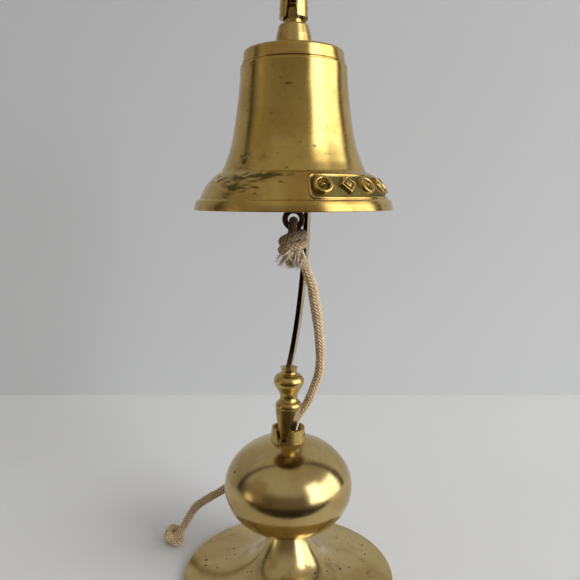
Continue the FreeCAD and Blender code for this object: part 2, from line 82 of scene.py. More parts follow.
class Graph:
    """Short way to write shader nodes: every call returns an output socket."""

    def __init__(self, tree):
        self.tree = tree

    def node(self, kind, **settings):
        made = self.tree.nodes.new(kind)
        for name, value in settings.items():
            setattr(made, name, value)
        return made

    def put(self, socket, value):
        if isinstance(value, bpy.types.NodeSocket):
            self.tree.links.new(value, socket)
        elif value is not None:
            socket.default_value = value

    def math(self, operation, a, b=None, c=None):
        made = self.node("ShaderNodeMath", operation=operation)
        for socket, value in zip(made.inputs, (a, b, c)):
            self.put(socket, value)
        return made.outputs[0]

    def dot(self, a, b):
        made = self.node("ShaderNodeVectorMath", operation="DOT_PRODUCT")
        self.put(made.inputs[0], a)
        self.put(made.inputs[1], b)
        return made.outputs["Value"]

    def ramp(self, value, low, high):
        """Smooth rise from 0 at low to 1 at high."""
        made = self.node("ShaderNodeMapRange", interpolation_type="SMOOTHSTEP")
        for socket, item in zip(made.inputs, (value, low, high)):
            self.put(socket, item)
        return made.outputs[0]

    def mix(self, share, a, b):
        """Mix of two colours, by the node's colour sockets."""
        made = self.node("ShaderNodeMix", data_type="RGBA")
        self.put(made.inputs["Factor"], share)
        self.put(made.inputs[6], a)
        self.put(made.inputs[7], b)
        return made.outputs[2]

    def place(self, scale=(1, 1, 1), turn=(0, 0, 0)):
        """Position on the object, stretched and turned."""
        coordinates = self.node("ShaderNodeTexCoord").outputs["Object"]
        made = self.node("ShaderNodeMapping")
        self.put(made.inputs["Vector"], coordinates)
        self.put(made.inputs["Scale"], scale)
        self.put(made.inputs["Rotation"], turn)
        return made.outputs[0]

    def noise(self, where, scale, detail=4.0, rough=0.5, twist=0.0):
        made = self.node("ShaderNodeTexNoise")
        for name, value in (("Vector", where), ("Scale", scale), ("Detail", detail),
                            ("Roughness", rough), ("Distortion", twist)):
            self.put(made.inputs[name], value)
        return made.outputs[0]

    def cells(self, where, scale):
        """Distance to the nearest of scattered points."""
        made = self.node("ShaderNodeTexVoronoi")
        self.put(made.inputs["Vector"], where)
        self.put(made.inputs["Scale"], scale)
        return made.outputs["Distance"]

    def bump(self, height, strength, distance, normal=None):
        made = self.node("ShaderNodeBump")
        for name, value in (("Height", height), ("Strength", strength), ("Distance", distance),
                            ("Normal", normal)):
            self.put(made.inputs[name], value)
        return made.outputs[0]


def material(name):
    """New material: the graph and its Principled shader."""
    made = bpy.data.materials.new(name)
    made.use_nodes = True
    graph = Graph(made.node_tree)
    return made, graph, made.node_tree.nodes["Principled BSDF"]


def colour(red, green, blue):
    """Linear colour from 0-255 screen values."""
    return tuple((channel / 255) ** 2.2 for channel in (red, green, blue)) + (1.0,)


# --- brass -----------------------------------------------------------------------------------------

BRASS = (0.62, 0.43, 0.125, 1.0)
PALE_BRASS = (0.62, 0.48, 0.21, 1.0)
WORN_BRASS = (0.60, 0.44, 0.15, 1.0)
# Tarnish colour, also used for the painted shade in the corners.
TARNISH_AND_SHADE = (0.075, 0.045, 0.012, 1.0)
# Colour of the bell's tarnish and painted dark reflection.
TARNISH_AND_REFLECTION_TONE = (0.075, 0.066, 0.018, 1.0)
# Colour of the painted shade on the faces towards -Y.
FRONT_SHADE = (0.03, 0.018, 0.006, 1.0)
DEEPER_BY = (0.78, 0.70, 0.60)
COVER = 0.85

# Fineness of the marks on brass: the scale of the noise behind each, in steps to the metre.
BROAD_CLOUDS = 38
FINE_CLOUDS = 260
STAIN_CLOUDS = 62
SMALL_PITS = 420
SMALL_PIT_PATCHES = 150
LARGE_PITS = 210
LARGE_PIT_PATCHES = 55
SCRATCHES = (900, 900, 60)
CROSS_SCRATCHES = (60, 1100, 700)
LATHE_LINES = (18, 18, 5200)
BROAD_LATHE_LINES = (9, 9, 900)
FILE_MARKS = (2500, 300, 300)
# How far the occlusion looks, for the painted shade in the corners.
CREVICE_SHADE_REACH = 2.5 * MM


def brass_pits(g, where, specks):
    """Dark pits of two sizes, each kind only in its own patches."""
    allowed = g.math("GREATER_THAN", g.noise(where, SMALL_PIT_PATCHES, 2), 0.86 - 0.36 * specks)
    away = g.cells(g.place((1, 1, 1), (0.3, 0.5, 0.2)), SMALL_PITS)
    small = g.math("MULTIPLY", g.ramp(away, 0.30, 0.12), allowed)
    allowed = g.math("GREATER_THAN", g.noise(where, LARGE_PIT_PATCHES, 3, 0.7), 0.80 - 0.28 * specks)
    away = g.cells(g.place((1, 1, 1.5), (0.9, 0.1, 0.4)), LARGE_PITS)
    large = g.math("MULTIPLY", g.ramp(away, 0.26, 0.14), allowed)
    return g.math("MAXIMUM", small, large)


def crevice_shade(g):
    """Share of painted shade in the corners, where nearby surfaces of the same part hide the light."""
    made = g.node("ShaderNodeAmbientOcclusion", samples=4, only_local=True)
    g.put(made.inputs["Distance"], CREVICE_SHADE_REACH)
    return g.ramp(made.outputs["AO"], 0.75, 0.25)


def brass_tone(g, base, broad, stain, painted, pit, front):
    """Colour of the metal under its marks, laid on one after another."""
    deep = tuple(channel * share for channel, share in zip(base, DEEPER_BY)) + (1.0,)
    tone = g.mix(g.ramp(broad, 0.35, 0.7), base, deep)
    tone = g.mix(stain, tone, TARNISH_AND_SHADE)
    # Painted shade in the corners, in the tarnish colour.
    tone = g.mix(g.math("MULTIPLY", crevice_shade(g), COVER), tone, TARNISH_AND_SHADE)
    # Tarnish and painted dark reflection laid on the bell point by point, and patina in its sunk panel.
    tone = g.mix(g.math("MULTIPLY", painted, COVER), tone, TARNISH_AND_REFLECTION_TONE)
    tone = g.mix(g.math("MULTIPLY", pit, COVER), tone, TARNISH_AND_SHADE)
    # Painted shade on the faces towards -Y.
    if front:
        facing = g.dot(g.node("ShaderNodeTexCoord").outputs["Normal"], (0, -1, 0))
        tone = g.mix(g.math("MULTIPLY", g.ramp(facing, 0.2, 0.5), front), tone, FRONT_SHADE)
    return tone


def brass_normal(g, pit, turned, brushed):
    """Fine scratches, lathe lines or file marks, and the pits."""
    scratch = g.noise(g.place(SCRATCHES, (0.4, 0.9, 0.3)), 1.0, 2, 0.7)
    crossing = g.noise(g.place(CROSS_SCRATCHES, (0.2, -0.6, 1.1)), 1.0, 2, 0.7)
    normal = g.bump(g.math("ADD", scratch, crossing), 0.12, 0.02 * MM)
    if turned:
        lines = g.noise(g.place(LATHE_LINES), 1.0, 3, 0.8)
        broad_lines = g.noise(g.place(BROAD_LATHE_LINES), 1.0, 2, 0.6)
        normal = g.bump(g.math("MULTIPLY_ADD", broad_lines, 0.8, lines), turned, 0.05 * MM, normal)
    if brushed:
        normal = g.bump(g.noise(g.place(brushed), 1.0, 3, 0.8), 0.35, 0.04 * MM, normal)
    return g.bump(g.math("MULTIPLY", pit, -1.0), 0.6, 0.08 * MM, normal)


def brass(name, rough, patches, specks, base=BRASS, turned=0.0, brushed=None, stretch=0.0, front=0.0):
    """Worn brass. patches: how much brown tarnish. specks: how many dark pits. turned: depth of the lathe
    lines round Z. brushed: scale of the file marks. stretch: how far highlights draw out round Z.
    front: how much painted shade darkens the faces towards -Y."""
    made, g, shader = material(name)
    where = g.place()
    broad = g.noise(where, BROAD_CLOUDS, 3, 0.55, 0.6)
    fine = g.noise(where, FINE_CLOUDS, 5, 0.6, 0.3)
    stain = g.ramp(g.noise(where, STAIN_CLOUDS, 6, 0.62, 1.1), 0.56, 0.74)
    stain = g.math("MULTIPLY", stain, g.ramp(fine, 0.3, 0.7))
    painted = g.node("ShaderNodeAttribute", attribute_name="tarnish_and_dark_reflection").outputs["Fac"]
    painted = g.math("MULTIPLY", painted, g.ramp(fine, 0.2, 0.45))
    pit = brass_pits(g, where, specks)
    tone = brass_tone(g, base, broad, g.math("MULTIPLY", stain, patches), painted, pit, front)
    g.put(shader.inputs["Base Color"], tone)
    shader.inputs["Metallic"].default_value = 1.0
    worn = g.math("MULTIPLY_ADD", g.math("ADD", broad, fine), 0.16, rough - 0.13)
    worn = g.math("MULTIPLY_ADD", stain, 0.22 * patches + 0.05, worn)
    worn = g.math("MULTIPLY_ADD", g.math("MAXIMUM", pit, painted), 0.3, worn)
    g.put(shader.inputs["Roughness"], worn)
    g.put(shader.inputs["Normal"], brass_normal(g, pit, turned, brushed))
    if stretch:
        shader.inputs["Anisotropic"].default_value = stretch
        shader.inputs["Anisotropic Rotation"].default_value = 0.25
        tangent = g.node("ShaderNodeTangent", direction_type="RADIAL", axis="Z")
        g.put(shader.inputs["Tangent"], tangent.outputs[0])
    return made


# --- other materials -------------------------------------------------------------------------------

def dark_iron(name):
    made, g, shader = material(name)
    where = g.place()
    rust = g.ramp(g.noise(where, 190, 6, 0.65, 0.8), 0.42, 0.7)
    tone = g.mix(rust, (0.030, 0.020, 0.013, 1), (0.085, 0.042, 0.018, 1))
    g.put(shader.inputs["Base Color"], tone)
    shader.inputs["Metallic"].default_value = 0.55
    g.put(shader.inputs["Roughness"], g.math("MULTIPLY_ADD", rust, 0.3, 0.42))
    g.put(shader.inputs["Normal"], g.bump(g.noise(where, 520, 5, 0.7), 0.5, 0.15 * MM))
    return made


def zinc_steel(name):
    made, g, shader = material(name)
    where = g.place()
    cloud = g.noise(where, 320, 5, 0.6)
    tone = g.mix(g.ramp(cloud, 0.3, 0.7), (0.56, 0.56, 0.54, 1), (0.42, 0.41, 0.38, 1))
    g.put(shader.inputs["Base Color"], tone)
    shader.inputs["Metallic"].default_value = 1.0
    g.put(shader.inputs["Roughness"], g.math("MULTIPLY_ADD", cloud, 0.3, 0.2))
    g.put(shader.inputs["Normal"], g.bump(g.noise(g.place((2500, 2500, 300)), 1.0, 2), 0.3, 0.03 * MM))
    return made


def cotton(name):
    """Natural cotton braid: pale on the raised yarns, with painted shade in brown between them and a
    painted near-white highlight on the loose fibres, and dark near the iron.
    """
    made, g, shader = material(name)
    where = g.place()
    raised = g.node("ShaderNodeAttribute", attribute_name="raised").outputs["Fac"]
    darkened_near_eye = g.node("ShaderNodeAttribute", attribute_name="darkened_near_eye").outputs["Fac"]
    cloud = g.noise(where, 120, 4, 0.6, 0.4)
    fibre = g.noise(where, 2600, 4, 0.75, 0.6)
    pale = g.mix(g.ramp(cloud, 0.3, 0.75), colour(230, 211, 172), colour(212, 184, 136))
    # Painted near-white highlight where the raised value passes 1: on the loose fibres and the tuft.
    pale = g.mix(g.ramp(raised, 1.0, 1.3), pale, colour(255, 248, 226))
    # Painted shade: brown in the gaps between the raised yarns.
    tone = g.mix(g.ramp(raised, 0.1, 0.75), colour(140, 102, 60), pale)
    tone = g.mix(g.math("MULTIPLY", g.ramp(fibre, 0.62, 0.3), 0.35), tone, colour(160, 124, 82))
    tone = g.mix(darkened_near_eye, tone, colour(70, 42, 20))
    g.put(shader.inputs["Base Color"], tone)
    shader.inputs["Roughness"].default_value = 0.95
    shader.inputs["Sheen Weight"].default_value = 0.35
    shader.inputs["Sheen Roughness"].default_value = 0.6
    shader.inputs["Specular IOR Level"].default_value = 0.15
    g.put(shader.inputs["Normal"], g.bump(fibre, 0.55, 0.18 * MM))
    return made


def felt(name):
    made, g, shader = material(name)
    where = g.place()
    fibre = g.noise(where, 1800, 6, 0.8, 1.2)
    g.put(shader.inputs["Base Color"], g.mix(fibre, colour(22, 62, 40), colour(52, 104, 70)))
    shader.inputs["Roughness"].default_value = 1.0
    shader.inputs["Sheen Weight"].default_value = 0.6
    g.put(shader.inputs["Normal"], g.bump(fibre, 0.8, 0.3 * MM))
    return made


MATERIALS = {
    "bell_brass": brass("bell_brass", rough=0.21, patches=0.30, specks=0.2, turned=0.30, stretch=0.75),
    "ball_brass": brass("ball_brass", rough=0.15, patches=0.55, specks=0.45, base=PALE_BRASS),
    "foot_brass": brass("foot_brass", rough=0.18, patches=0.6, specks=0.7, base=PALE_BRASS, turned=0.08),
    "arm_brass": brass("arm_brass", rough=0.30, patches=0.3, specks=0.4, base=PALE_BRASS,
                       brushed=FILE_MARKS, front=1.0),
    "turned_brass": brass("turned_brass", rough=0.24, patches=0.85, specks=0.4, base=WORN_BRASS,
                          turned=0.15),
    "steel": zinc_steel("steel"),
    "dark_iron": dark_iron("dark_iron"),
    "felt": felt("felt"),
    "cotton": cotton("cotton"),
}


# --- mesh helpers ----------------------------------------------------------------------------------

def mesh_object(name, points, faces, slot, values=None):
    """Object from points in millimetres. values: point attributes for the material."""
    mesh = bpy.data.meshes.new(name)
    mesh.from_pydata((np.asarray(points) * MM).tolist(), [], faces)
    mesh.validate()
    mesh.shade_smooth()
    for key, numbers in (values or {}).items():
        layer = mesh.attributes.new(key, "FLOAT", "POINT")
        layer.data.foreach_set("value", np.asarray(numbers, np.float32))
    mesh.materials.append(MATERIALS[slot])
    made = bpy.data.objects.new(name, mesh)
    bpy.context.scene.collection.objects.link(made)
    return made


CURVE_STEPS = 24


def smooth_curve(points, step):
    """Points at an even step along a Catmull-Rom curve through the given points."""
    controls = np.array(points, float)
    controls = np.vstack([2 * controls[0] - controls[1], controls, 2 * controls[-1] - controls[-2]])
    dense = []
    for a, b, c, d in zip(controls, controls[1:], controls[2:], controls[3:]):
        for t in np.linspace(0, 1, CURVE_STEPS, endpoint=False):
            dense.append(0.5 * (2 * b + (c - a) * t + (2 * a - 5 * b + 4 * c - d) * t ** 2
                                + (3 * b - a - 3 * c + d) * t ** 3))
    dense.append(controls[-2])
    dense = np.array(dense)
    lengths = np.concatenate([[0], np.cumsum(np.linalg.norm(np.diff(dense, axis=0), axis=1))])
    even = np.linspace(0, lengths[-1], max(2, int(lengths[-1] / step) + 1))
    return np.column_stack([np.interp(even, lengths, column) for column in dense.T])


def straight(points, step):
    """The outline with its long stretches divided, so that each piece is at most one step long."""
    made = [points[0]]
    for a, b in zip(points, points[1:]):
        count = max(1, math.ceil(math.dist(a, b) / step))
        made += [tuple(np.array(a) + (np.array(b) - np.array(a)) * k / count) for k in range(1, count + 1)]
    return made


def eased(points, radius):
    """The outline with its corners cut to a small round."""
    made = [points[0]]
    for before, corner, after in zip(points, points[1:], points[2:]):
        corner = np.array(corner)
        back, ahead = np.array(before) - corner, np.array(after) - corner
        reach = min(radius, np.linalg.norm(back) / 2.2, np.linalg.norm(ahead) / 2.2)
        start = corner + back / np.linalg.norm(back) * reach
        end = corner + ahead / np.linalg.norm(ahead) * reach
        for t in (0, 0.25, 0.5, 0.75, 1):
            made.append(tuple((1 - t) ** 2 * start + 2 * t * (1 - t) * corner + t * t * end))
    made.append(points[-1])
    return made


def grid_faces(rings, around, closed_rings):
    """Quads between rings of points; the rings themselves close on each other if asked."""
    faces = []
    last = rings if closed_rings else rings - 1
    for i in range(last):
        ahead = (i + 1) % rings
        for j in range(around):
            beside = (j + 1) % around
            near, far = i * around, ahead * around
            faces.append((near + j, near + beside, far + beside, far + j))
    return faces


# --- bell ------------------------------------------------------------------------------------------

# Profile in runs of (radius, height above the lip), in mm, up the outside and down the inside.
BAND_LOW = 5.5
BAND_HIGH = 17.4
BORE = 3.2
UNDER_CROWN = CROWN_HEIGHT - 3.0
FLANGE = [(48.4, 0), (LIP_RADIUS, 0), (50.9, 3.2), (50.2, 5.0), (48.5, BAND_LOW)]
BAND = [(48.5, BAND_LOW), (46.9, 9.1), (44.3, 13.4), (40.3, BAND_HIGH)]
LEDGE = [(40.3, BAND_HIGH), (38.7, 18.5), (37.6, 18.6), (37.2, 19.2)]
WAIST = [(37.2, 19.2), (34.9, 24.0), (31.7, 33.5), (29.2, 47.5), (27.5, 61.9), (26.9, 70.5)]
CROWN = [(26.9, 70.5), (26.85, 71.0), (25.6, 71.2), (25.5, 71.9), (25.85, 72.3),
         (25.0, CROWN_HEIGHT - 0.8), (23.6, CROWN_HEIGHT), (BORE, CROWN_HEIGHT)]
HOLE = [(BORE, CROWN_HEIGHT), (BORE, UNDER_CROWN), (20.5, UNDER_CROWN)]
INSIDE = [(20.5, UNDER_CROWN), (23.9, 71.5), (24.8, 61.0), (26.6, 46.5), (29.4, 32.5), (33.4, 22.0),
          (39.4, 14.5), (44.8, 6.5), (48.4, 0)]
BAND_STEP = 0.3
WAIST_STEP = 0.9
INSIDE_STEP = 1.2

# Ornament on the lip band: turns round the bell, and sizes in mm.
PANEL_START = math.radians(17.0)
PANEL_SPAN = math.radians(131.0)
PANEL_RADIUS = 46.0
PANEL_LENGTH = PANEL_SPAN * PANEL_RADIUS
PANEL_MARGIN = 0.7
PANEL_CORNER = 3.0
PANEL_DEPTH = 0.55
RIM_RISE = 0.45
RIM_REACH = 0.7
EDGE = 0.5
MOTIFS = 8
MOTIF_RISE = 1.75
MOTIF_SLOPE = 0.8
MOTIF_CREST = 1.3
RING_RADIUS = 3.7
RING_HALF_WIDTH = 1.35
BOSS_RADIUS = 1.3
LOZENGE_REACH = 5.9
LOZENGE_STEEPNESS = 1.1


def bell_outline():
    """Closed outline, the share of the way up the lip band at each point, and the band's length."""
    flange = eased(FLANGE, 0.45)
    band = [tuple(p) for p in smooth_curve(BAND, BAND_STEP)]
    ledge = eased(LEDGE, 0.3)
    waist = [tuple(p) for p in smooth_curve(WAIST, WAIST_STEP)]
    crown = straight(eased(CROWN, 0.8), 1.2)
    hole = straight(HOLE, 1.5)
    inner = [tuple(p) for p in smooth_curve(INSIDE, INSIDE_STEP)]
    outline = flange + band[1:] + ledge[1:] + waist[1:] + crown[1:] + hole[1:] + inner[1:-1]
    first = len(flange)
    share = np.full(len(outline), -1.0)
    share[first:first + len(band) - 1] = np.arange(1, len(band)) / (len(band) - 1)
    return np.array(outline), share, len(band) * BAND_STEP


def soft_step(distance, width):
    """Smooth rise from 0 to 1 over the width."""
    t = np.clip(distance / width, 0, 1)
    return t * t * (3 - 2 * t)


def relief(along, across, height):
    """Height of the ornament in mm: a sunk panel with a raised rim, and rings and lozenges by turns."""
    half_l, half_h = PANEL_LENGTH / 2, height / 2 - PANEL_MARGIN
    x, y = along - half_l, across - height / 2
    past_x = np.maximum(np.abs(x) - half_l + PANEL_CORNER, 0)
    past_y = np.maximum(np.abs(y) - half_h + PANEL_CORNER, 0)
    inside = PANEL_CORNER - np.hypot(past_x, past_y)
    sunk = soft_step(inside - EDGE, EDGE)
    rim = soft_step(inside + RIM_REACH, EDGE) * (1 - sunk)
    pitch = PANEL_LENGTH / MOTIFS
    index = np.clip(np.floor(along / pitch), 0, MOTIFS - 1)
    u = along - (index + 0.5) * pitch
    away = np.hypot(u / 1.04, y)
    ring = np.maximum(RING_HALF_WIDTH - np.abs(away - RING_RADIUS), BOSS_RADIUS - away)
    diamond = LOZENGE_REACH - np.abs(u) * LOZENGE_STEEPNESS - np.abs(y) * LOZENGE_STEEPNESS
    lozenge = np.minimum(diamond, np.abs(diamond - 3.1) + 0.4) / 1.5
    shape = np.where(index % 2 == 0, ring, lozenge)
    crest = MOTIF_RISE + 0.2 * np.minimum(shape, MOTIF_CREST)
    return RIM_RISE * rim - PANEL_DEPTH * sunk + soft_step(shape, MOTIF_SLOPE) * sunk * crest


# Painted dark reflection on the band's shoulder under the ledge: its height in mm above the lip, and its
# reach to either side.
LEDGE_REFLECTION_HEIGHT = 15.5
LEDGE_REFLECTION_REACH = 2.6
# Dark patches on the bell, partly tarnish and partly painted dark reflection: radians round from the
# viewer, mm above the lip, half sizes of each, strength.
BELL_DARK_PATCHES = [
    (-0.62, 11.0, 0.26, 3.2, 1.22),
    (-0.34, 16.2, 0.34, 1.6, 1.20),
    (-0.95, 15.5, 0.30, 2.0, 0.50),
    (-0.74, 25.0, 0.10, 5.0, 1.15),
    (-0.17, 60.0, 0.09, 5.0, 0.66),
    (2.60, 14.0, 0.50, 3.0, 0.80),
]


def bell_tarnish_and_dark_reflection(angle, height, radius):
    """Tarnish and painted dark reflection, in ragged patches that run with the lathe lines."""
    turn = (angle + math.pi) % (2 * math.pi) - math.pi - VIEW_TURN
    spot = Vector((radius * math.sin(angle) * 0.22, radius * math.cos(angle) * 0.22, height * 0.62))
    cloud = noise.fractal(spot, 0.7, 2.2, 5) + 0.5
    # Painted dark reflection on the band's shoulder under the ledge.
    under_ledge = math.exp(-((height - LEDGE_REFLECTION_HEIGHT) / LEDGE_REFLECTION_REACH) ** 2)
    amount = 0.2 * under_ledge
    for centre, level, half_turn, half_height, strength in BELL_DARK_PATCHES:
        off = ((turn - centre) / half_turn) ** 2 + ((height - level) / half_height) ** 2
        amount += strength * math.exp(-off)
    return min(0.95, max(0.0, (amount + cloud - 1.15) * 1.9))


def bell_angles():
    """Turns round the bell in radians: close together on the ornament, wider elsewhere."""
    spare, step, plain_steps = 0.03, 0.28 / PANEL_RADIUS, 150
    fine = np.arange(PANEL_START - spare, PANEL_START + PANEL_SPAN + spare, step)
    rest = np.linspace(fine[-1], fine[0] + 2 * math.pi, plain_steps)[1:-1]
    return np.concatenate([fine, rest])


def outward(outline):
    """Unit vector out of the metal at each point of the closed outline."""
    ahead = np.roll(outline, -1, axis=0) - np.roll(outline, 1, axis=0)
    normals = np.column_stack([ahead[:, 1], -ahead[:, 0]])
    return normals / np.linalg.norm(normals, axis=1)[:, None]


def bell_lift(angles, part, band_length):
    """Rise of the surface in mm round the bell, at one share of the way up the lip band."""
    lift = np.zeros(len(angles))
    if part >= 0:
        along = (angles - PANEL_START) * PANEL_RADIUS
        marked = (along > -1.2) & (along < PANEL_LENGTH + 1.2)
        lift[marked] = relief(along[marked], part * band_length, band_length)
    return lift


def make_bell():
    outline, share, band_length = bell_outline()
    angles = bell_angles()
    points = np.zeros((len(outline), len(angles), 3))
    tarnish_and_dark_reflection = np.zeros((len(outline), len(angles)))
    outside = np.arange(len(outline)) < np.argmax(outline[:, 1] >= CROWN_HEIGHT)
    for row, ((radius, height), (out_r, out_z), part) in enumerate(zip(outline, outward(outline), share)):
        lift = bell_lift(angles, part, band_length)
        if outside[row]:
            tarnish_and_dark_reflection[row] = [bell_tarnish_and_dark_reflection(angle, height, radius) for angle in angles]
        sunk = np.clip((-0.15 - lift) / 0.3, 0, 1)
        tarnish_and_dark_reflection[row] = np.maximum(tarnish_and_dark_reflection[row], sunk)
        wave = 0.05 * np.sin(3 * angles + height * 0.13) + 0.03 * np.sin(7 * angles - height * 0.21 + 1.0)
        r = radius + out_r * lift + wave
        points[row, :, 0] = BELL_X + r * np.sin(angles)
        points[row, :, 1] = BELL_Y - r * np.cos(angles)
        points[row, :, 2] = LIP_Z + height + out_z * lift
    faces = grid_faces(len(outline), len(angles), True)
    made = mesh_object("bell_shell", points.reshape(-1, 3), faces, "bell_brass", {"tarnish_and_dark_reflection": tarnish_and_dark_reflection.ravel()})
    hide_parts("bell")
    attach(made, "bell")


make_bell()


# --- cord ------------------------------------------------------------------------------------------

# Millimetres, but for the counts of strands, of points round each ring and of loose fibres to a ring.
CORD_RADIUS = 2.25
STRANDS = 8
BRAID_PITCH = 1.9
AROUND = 72
ALONG_STEP = 0.22
ABOVE_TABLE = 0.1
FIBRES_PER_RING = 4
FIBRE_WIDTH = 0.045
CUT_END_LENGTH = 1.2
# How raised a loose fibre counts, for its colour: above 1 it takes the painted near-white highlight.
FIBRE_HIGHLIGHT = 1.2
# Heights in mm, and how full the braid is there: it opens up where it hangs slack.
SLACK = ([86, 105, 125, 150, 166, 174], [1.02, 1.08, 1.10, 1.20, 1.20, 1.02])


def across_path(path):
    """Two cross directions at each point of the path, carried along without twist."""
    tangents = np.gradient(path, axis=0)
    tangents /= np.linalg.norm(tangents, axis=1)[:, None]
    side = np.cross(tangents[0], (0.3, 0.9, 0.2))
    sides = []
    for tangent in tangents:
        side = side - tangent * np.dot(side, tangent)
        side /= np.linalg.norm(side)
        sides.append(side)
    sides = np.array(sides)
    return sides, np.cross(tangents, sides)


def braid_height(angle, distance):
    """Raised yarns of a round two-over-two braid, from 0 in the gaps to 1 on top of a strand."""
    a = STRANDS * angle / (2 * math.pi) + distance / BRAID_PITCH
    b = STRANDS * angle / (2 * math.pi) - distance / BRAID_PITCH
    phase = (np.floor(a) + np.floor(b)) % 4
    over = phase < 2
    along = np.where(over, b, a)
    first = np.where(over, phase < 1, phase < 3)
    across = np.where(over, a, b) % 1
    reach = np.where(first, along % 1, 1 + along % 1) / 2
    strand = np.sin(math.pi * across) ** 0.8 * (0.30 + 0.70 * np.sin(math.pi * reach) ** 0.6)
    yarns = 0.22 * np.abs(np.sin(3 * math.pi * across))
    return np.clip(strand + yarns - 0.12, 0, 1)


def from_eye(points):
    """Places in the part's frame, from places given from the centre of the clapper's lower eye."""
    return [(BELL_X + x, BELL_Y + y, EYE_Z + z) for x, y, z in points]


HITCH = from_eye([(-2.0, -4.6, -19.6), (-1.4, -2.0, -15.8), (-0.4, -1.0, -11.5), (-0.3, -2.6, -7.6),
                  (0, -3.9, -4.6), (0, 0, -0.75), (0, 3.9, -4.6), (2.0, 4.2, -6.9), (5.0, 1.2, -8.0),
                  (4.0, -3.8, -7.9), (-0.4, -6.1, -8.9), (-4.7, -3.8, -11.0), (-5.4, 1.0, -12.2),
                  (-1.6, 4.5, -11.6), (3.6, 3.6, -11.2), (5.6, -0.9, -12.2), (3.4, -5.4, -13.6),
                  (-1.8, -6.6, -14.4), (-5.5, -3.0, -15.9), (-3.0, 2.2, -16.6), (2.0, 2.4, -18.6),
                  (4.9, 1.0, -22.6), (6.8, 0.9, -27.2)])
FREE = [(11.5, 8.8, 164), (12.9, 9.9, 155.5), (14.6, 10.2, 144.5), (15.9, 11.4, 130.5), (15.5, 13.4, 116),
        (12.9, 14.4, 107), (9.2, 15.9, 97.5), (4.0, 18.5, 88.5)]
RESTING = [(-2.0, 26.0, 78), (-10, 34.0, 66), (-22, 33.5, 53), (-33, 26, 44), (-42.2, 19.5, 38),
           (-52.3, 19.5, 31.2), (-59.6, 20.4, 25), (-64.3, 20.7, 17.9), (-68.2, 21.0, 10.5)]
END_KNOT = [(-71.5, 19.0, 6.6), (-76.5, 17.0, 5.4), (-78.2, 21.2, 4.4), (-74.5, 24.6, 3.4),
            (-70.2, 22.2, 3.2), (-71.6, 17.0, 2.9), (-76.4, 17.6, 6.8), (-76.2, 22.6, 8.4),
            (-71.8, 22.4, 7.6), (-70.6, 18.6, 4.0)]

# The free cord is cut into pieces down the chain: the upper body, whose name each piece takes, the lower
# body, and the shares of the free length where the piece begins and ends.
CHAIN = [("clapper", "link", 0.0, 0.24), ("link", "bell", 0.24, 0.40), ("bell", "arm", 0.40, 0.80),
         ("arm", "root", 0.80, 1.0)]


def cord_radii(path, height, angles):
    """Radius at each point of each ring: braid, slow swelling, small lumps and cut ends."""
    count = len(path)
    distance = np.arange(count) * ALONG_STEP
    wander = np.array([noise.noise(Vector((d * 0.11, 3.7, 0.0))) for d in distance])
    lumps = np.array([[noise.noise(Vector((d * 0.5, math.cos(a), math.sin(a)))) for a in angles]
                      for d in distance[::4]])
    lumps = np.repeat(lumps, 4, axis=0)[:count]
    slack = np.interp(path[:, 2], *SLACK)
    radius = CORD_RADIUS * (slack + 0.10 * wander)[:, None] * (0.80 + 0.27 * height + 0.07 * lumps)
    from_end = np.minimum(np.arange(count), count - 1 - np.arange(count)) * ALONG_STEP
    return radius * np.sqrt(np.clip(from_end / CUT_END_LENGTH, 0.02, 1))[:, None]


def cord_rows(path):
    """Rings of points of a braided cord along the path, and how raised the yarn is at each."""
    side, other = across_path(path)
    distance = np.arange(len(path)) * ALONG_STEP
    angles = np.linspace(0, 2 * math.pi, AROUND, endpoint=False)
    height = braid_height(angles[None, :], distance[:, None])
    radius = cord_radii(path, height, angles)
    rows = path[:, None, :] + radius[:, :, None] * (np.cos(angles)[None, :, None] * side[:, None, :]
                                                    + np.sin(angles)[None, :, None] * other[:, None, :])
    rows[:, :, 2] = np.maximum(rows[:, :, 2], ABOVE_TABLE)
    return rows, height


def stray_fibres(rng, points, rows, count):
    """Short loose hairs on the cord, each a slim closed spike of four points, and their faces."""
    hairs, faces = [], []
    for _ in range(count):
        row, place = rng.randrange(2, rows - 2), rng.randrange(AROUND)
        root = points[row * AROUND + place]
        middle = points[row * AROUND:(row + 1) * AROUND].mean(axis=0)
        out = (root - middle) / np.linalg.norm(root - middle)
        lean = np.array([rng.gauss(0, 0.8) for _ in range(3)])
        tip = root + (out + lean) * rng.uniform(0.35, 0.95)
        tip[2] = max(tip[2], ABOVE_TABLE)
        across = np.cross(out, lean)
        across *= FIBRE_WIDTH / max(np.linalg.norm(across), 0.01)
        upward = np.cross(out, across)
        first = len(points) + len(hairs)
        hairs += [root - across, root + across, root + upward, tip]
        faces += [(first, first + 2, first + 1), (first, first + 1, first + 3)]
        faces += [(first + 1, first + 2, first + 3), (first + 2, first, first + 3)]
    return np.array(hairs), faces


def near_iron(points):
    """Share of grey-brown darkening on the cord: none from 14 mm below the iron eye, full from 5.5 mm
    below it upwards.
    """
    return np.clip((points[:, 2] - (EYE_Z - 14.0)) / 8.5, 0, 1) * 0.9


def cord_piece(name, rows, height, first, last):
    """One length of the cord, with both ends closed."""
    points = rows[first:last + 1].reshape(-1, 3)
    count = last + 1 - first
    faces = grid_faces(count, AROUND, False)
    faces.append(tuple(range(AROUND - 1, -1, -1)))
    faces.append(tuple(range((count - 1) * AROUND, count * AROUND)))
    hairs, hair_faces = stray_fibres(random.Random(first), points, count, count * FIBRES_PER_RING)
    raised = np.concatenate([height[first:last + 1].ravel(), np.full(len(hairs), FIBRE_HIGHLIGHT)])
    points = np.vstack([points, hairs])
    faces += hair_faces
    values = {"raised": raised, "darkened_near_eye": near_iron(points)}
    return mesh_object(name, points, faces, "cotton", values)


